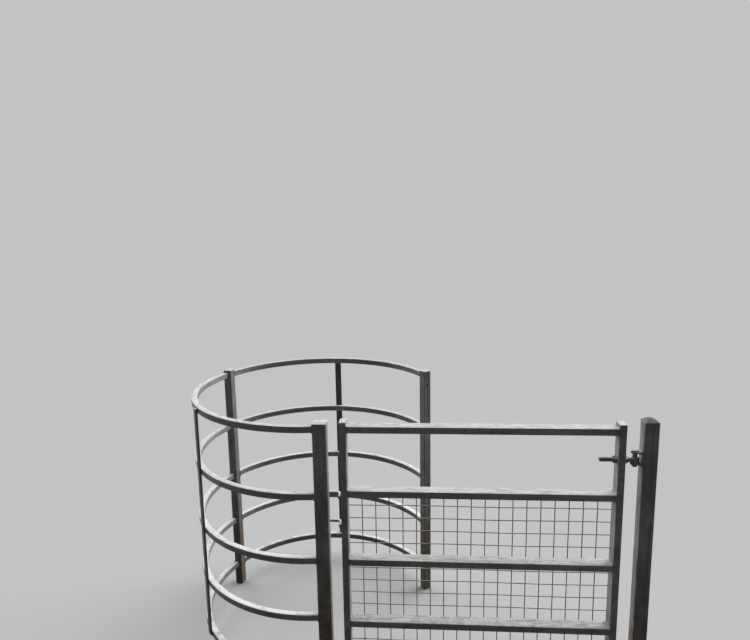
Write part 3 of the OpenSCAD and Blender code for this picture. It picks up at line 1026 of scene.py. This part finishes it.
def makeFixings(look):
    post = middleOf("near_post")
    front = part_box("near_post")[0].y
    heads = [makeHead(look, Vector((post.x, front, z)), -alongY, look["headRadius"], look["headProud"])
             for z in look["headHeights"]]
    hang(joinPieces(heads), "postBoltHeads", hoopBody, finishes["post_steel"])
    # a near-black disc in the far post's vent hole, painted shade for the hollow inside
    post = middleOf("far_post")
    turn = math.radians(look["ventShadeFace"])
    outward = Vector((math.cos(turn), math.sin(turn), 0))
    place = Vector((post.x, post.y, look["ventShadeHeight"])) + outward * hoopPosts["far_post"]["side"] / 2
    ventShade = makeHead(look, place, outward, look["ventShadeRadius"], look["ventShadeProud"])
    hang(ventShade, "farPostVentShade", hoopBody, finishes["ventHoleShade"])


makeFixings(fixings)
print("fixings made")


# Pale floor that runs out into the backdrop, and soft light from above and behind, as under a bright sky
studio = {
    "backdrop": (0.54, 0.545, 0.55, 1),
    "floorSize": 80,
    "floorColour": (0.528, 0.53, 0.533, 1),
    "floorBounce": (0.10, 0.094, 0.084, 1),  # what the floor throws back at the steel
    "floorFade": (2.6, 6.0),  # metres from the middle, where the floor turns into the backdrop
    "middle": (-0.85, 0.5, 0),
    "ambient": 0.058,  # the backdrop's strength as light on the steel
    "lamps": {  # the way to each lamp, its strength and the angle that it fills
        "overhead": {"towards": (0.25, 0.50, 1.0), "strength": 1.80, "angle": 60},
        "rightSide": {"towards": (1.0, 0.75, 0.42), "strength": 2.8, "angle": 50},
        "leftSide": {"towards": (-1.0, 0.85, 0.45), "strength": 2.0, "angle": 50},
        "front": {"towards": (0.0, -1.0, 0.45), "strength": 0.02, "angle": 60},
    },
}


# The camera and the steel's reflections see the full backdrop
def seenRays(tree):
    rays = addNode(tree, "ShaderNodeLightPath").outputs
    mirrored = maths(tree, "MAXIMUM", rays["Is Glossy Ray"], rays["Is Transmission Ray"])
    return maths(tree, "MAXIMUM", rays["Is Camera Ray"], mirrored)


def makeFloor(look):
    bpy.ops.mesh.primitive_plane_add(size=look["floorSize"])
    floor = bpy.context.object
    floor.name = "floor"
    material = bpy.data.materials.new("floorPaint")
    material.use_nodes = True
    tree = material.node_tree
    tree.nodes.clear()
    seen = seenRays(tree)
    colour = mixColours(tree, seen, look["floorBounce"], look["floorColour"])
    paint = addNode(tree, "ShaderNodeBsdfDiffuse", {"Color": colour})
    distant = addNode(tree, "ShaderNodeEmission", {"Color": look["backdrop"]})
    place = addNode(tree, "ShaderNodeTexCoord").outputs["Object"]
    fromMiddle = addNode(tree, "ShaderNodeVectorMath", {0: place, 1: look["middle"]}, operation="DISTANCE")
    away = fade(tree, fromMiddle.outputs["Value"], *look["floorFade"])
    share = maths(tree, "MULTIPLY", away, seen)
    both = addNode(tree, "ShaderNodeMixShader", {0: share, 1: paint.outputs[0], 2: distant.outputs[0]})
    output = addNode(tree, "ShaderNodeOutputMaterial")
    tree.links.new(both.outputs[0], output.inputs[0])
    floor.data.materials.append(material)


def makeWorld(look):
    world = bpy.data.worlds.new("studio")
    bpy.context.scene.world = world
    world.use_nodes = True
    tree = world.node_tree
    tree.nodes.clear()
    strength = maths(tree, "MAXIMUM", seenRays(tree), look["ambient"])
    sky = addNode(tree, "ShaderNodeBackground", {0: look["backdrop"], 1: strength})
    output = addNode(tree, "ShaderNodeOutputWorld")
    tree.links.new(sky.outputs[0], output.inputs[0])


def makeLamps(look):
    for name, lamp in look["lamps"].items():
        bpy.ops.object.light_add(type="SUN")
        light = bpy.context.object
        light.name = name
        light.data.energy = lamp["strength"]
        light.data.angle = math.radians(lamp["angle"])
        light.rotation_euler = (-Vector(lamp["towards"])).to_track_quat("-Z", "Y").to_euler()


makeFloor(studio)
makeWorld(studio)
makeLamps(studio)
print("studio lit")
